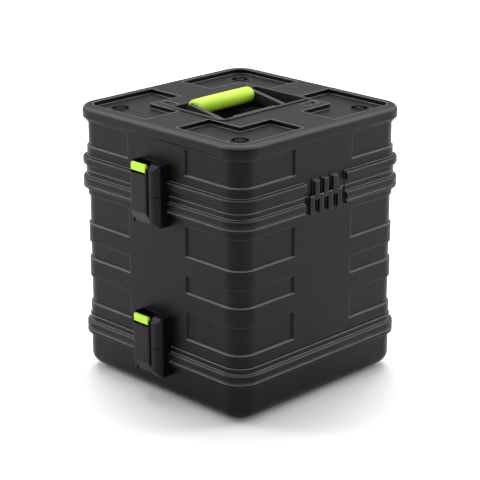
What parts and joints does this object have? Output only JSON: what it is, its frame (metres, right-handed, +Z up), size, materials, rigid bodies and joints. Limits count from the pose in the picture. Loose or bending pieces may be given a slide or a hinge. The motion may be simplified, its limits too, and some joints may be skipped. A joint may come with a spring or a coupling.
{
  "type": "wireless microphone case",
  "caption": "Square black travel case for rack receivers: base tray with tilting rack, lift-off sleeve, lift-off lid with folding grip and storage door, joined by side latches.",
  "frame": {"origin": "on the floor under the middle of the case", "axes": "+Z up, -Y out of the front wall with the badge plate, +X and -X out of the walls with the latches"},
  "size_m": [0.37, 0.33, 0.3985],
  "materials": {
    "moulded_black": "black rotationally moulded polyethylene, fine texture",
    "latch_black": "black glass-filled nylon, smooth satin",
    "lime": "lime green moulded plastic, satin",
    "lime_grip": "lime green soft rubber",
    "black_rubber": "black rubber",
    "badge_face": "black bare plate",
    "steel": "zinc-plated steel",
    "black_steel": "black powder coat",
    "aluminium": "ridged anodised aluminium extrusion",
    "chrome": "bright chrome",
    "carpet": "charcoal needle-felt carpet",
    "board": "black-stained plywood",
    "tab": "grey strap"
  },
  "bodies": {
    "base": {"base_tray": "moulded_black", "base_gasket": "black_rubber", "base_feet": "black_rubber", "badge_plate": "badge_face", "badge_screws": "black_steel", "base_latch_catch_left": "latch_black", "base_latch_catch_right": "latch_black", "lower_catch_bars": "steel", "rack_hinge_wall_leaf": "steel", "rack_hinge_pin": "steel", "stay_bracket_left": "black_steel", "stay_bracket_right": "black_steel"},
    "sleeve": {"sleeve_shell": "moulded_black", "sleeve_gasket": "black_rubber", "sleeve_foot_latch_housing_left": "latch_black", "sleeve_foot_latch_housing_right": "latch_black", "lower_latch_pins": "steel", "sleeve_latch_catch_left": "latch_black", "sleeve_latch_catch_right": "latch_black", "upper_catch_bars": "steel"},
    "lid": {"lid_shell": "moulded_black", "lid_latch_housing_left": "latch_black", "lid_latch_housing_right": "latch_black", "upper_latch_pins": "steel", "stacking_cups": "latch_black", "handle_dish": "latch_black", "dish_screws": "black_steel", "handle_pin": "steel", "handle_spring_cover": "black_rubber", "door_frame": "board", "frame_hinge_leaves": "steel", "door_hinge_pins": "steel", "twist_latch_keeper": "chrome"},
    "door": {"door_board": "board", "door_carpet": "carpet", "door_hinge_leaves": "steel", "twist_latch_plate": "chrome", "pull_tab": "tab", "pull_tab_rivet": "chrome"},
    "twist_wing": {"twist_latch_wing": "chrome"},
    "handle": {"handle_bail": "black_steel", "handle_grip": "lime_grip"},
    "lower_lever_left": {"lower_latch_lever_left": "latch_black"},
    "lower_lever_right": {"lower_latch_lever_right": "latch_black"},
    "upper_lever_left": {"upper_latch_lever_left": "latch_black"},
    "upper_lever_right": {"upper_latch_lever_right": "latch_black"},
    "lower_trigger_left": {"lower_latch_trigger_left": "lime"},
    "lower_trigger_right": {"lower_latch_trigger_right": "lime"},
    "upper_trigger_left": {"upper_latch_trigger_left": "lime"},
    "upper_trigger_right": {"upper_latch_trigger_right": "lime"},
    "rack": {"rack_frame": "aluminium", "rail_left": "steel", "rail_right": "steel", "rack_hinge_leaf": "steel", "rack_hinge_rivets": "steel", "stay_screw_left": "steel", "stay_screw_right": "steel"},
    "stay_left": {"stay_left": "steel"},
    "stay_right": {"stay_right": "steel"}
  },
  "joints": [
    {"name": "sleeve_lift", "type": "slide", "parent": "base", "child": "sleeve", "axis": [0, 0, 1], "range_m": [0, 0.24]},
    {"name": "lid_lift", "type": "slide", "parent": "sleeve", "child": "lid", "axis": [0, 0, 1], "range_m": [0, 0.35]},
    {"name": "lid_door", "type": "hinge", "parent": "lid", "child": "door", "pos_m": [0.14825, 0, 0.2984], "axis": [0, -1, 0], "range_deg": [0, 60]},
    {"name": "twist_latch", "type": "hinge", "parent": "door", "child": "twist_wing", "pos_m": [-0.1315, 0, 0.299], "axis": [0, 0, 1], "range_deg": [0, 90]},
    {"name": "handle_fold", "type": "hinge", "parent": "lid", "child": "handle", "pos_m": [0, 0.03, 0.376], "axis": [-1, 0, 0], "range_deg": [0, 90]},
    {"name": "lower_latch_left", "type": "hinge", "parent": "sleeve", "child": "lower_lever_left", "pos_m": [-0.173, 0, 0.114], "axis": [0, 1, 0], "range_deg": [-3.2, 60]},
    {"name": "lower_trigger_press_left", "type": "slide", "parent": "lower_lever_left", "child": "lower_trigger_left", "axis": [0, 0, -1], "range_m": [0, 0.003], "stiffness_N_per_m": 400},
    {"name": "lower_latch_right", "type": "hinge", "parent": "sleeve", "child": "lower_lever_right", "pos_m": [0.173, 0, 0.114], "axis": [0, -1, 0], "range_deg": [-3.2, 60]},
    {"name": "lower_trigger_press_right", "type": "slide", "parent": "lower_lever_right", "child": "lower_trigger_right", "axis": [0, 0, -1], "range_m": [0, 0.003], "stiffness_N_per_m": 400},
    {"name": "upper_latch_left", "type": "hinge", "parent": "lid", "child": "upper_lever_left", "pos_m": [-0.173, 0, 0.33], "axis": [0, 1, 0], "range_deg": [-3.2, 60]},
    {"name": "upper_trigger_press_left", "type": "slide", "parent": "upper_lever_left", "child": "upper_trigger_left", "axis": [0, 0, -1], "range_m": [0, 0.003], "stiffness_N_per_m": 400},
    {"name": "upper_latch_right", "type": "hinge", "parent": "lid", "child": "upper_lever_right", "pos_m": [0.173, 0, 0.33], "axis": [0, -1, 0], "range_deg": [-3.2, 60]},
    {"name": "upper_trigger_press_right", "type": "slide", "parent": "upper_lever_right", "child": "upper_trigger_right", "axis": [0, 0, -1], "range_m": [0, 0.003], "stiffness_N_per_m": 400},
    {"name": "rack_tilt", "type": "hinge", "parent": "base", "child": "rack", "pos_m": [0, -0.127, 0.0825], "axis": [1, 0, 0], "range_deg": [0, 3.5]},
    {"name": "stay_swing_left", "type": "hinge", "parent": "rack", "child": "stay_left", "pos_m": [0, -0.113, 0.185], "axis": [1, 0, 0], "range_deg": [-2.8, 0]},
    {"name": "stay_swing_right", "type": "hinge", "parent": "rack", "child": "stay_right", "pos_m": [0, -0.113, 0.185], "axis": [1, 0, 0], "range_deg": [-2.8, 0]}
  ],
  "couplings": [
    {"joint": "lid_door", "follows": "lid_lift", "rad_per_m": 2.9},
    {"joint": "stay_swing_left", "follows": "rack_tilt", "ratio": -0.767},
    {"joint": "stay_swing_right", "follows": "rack_tilt", "ratio": -0.767}
  ]
}
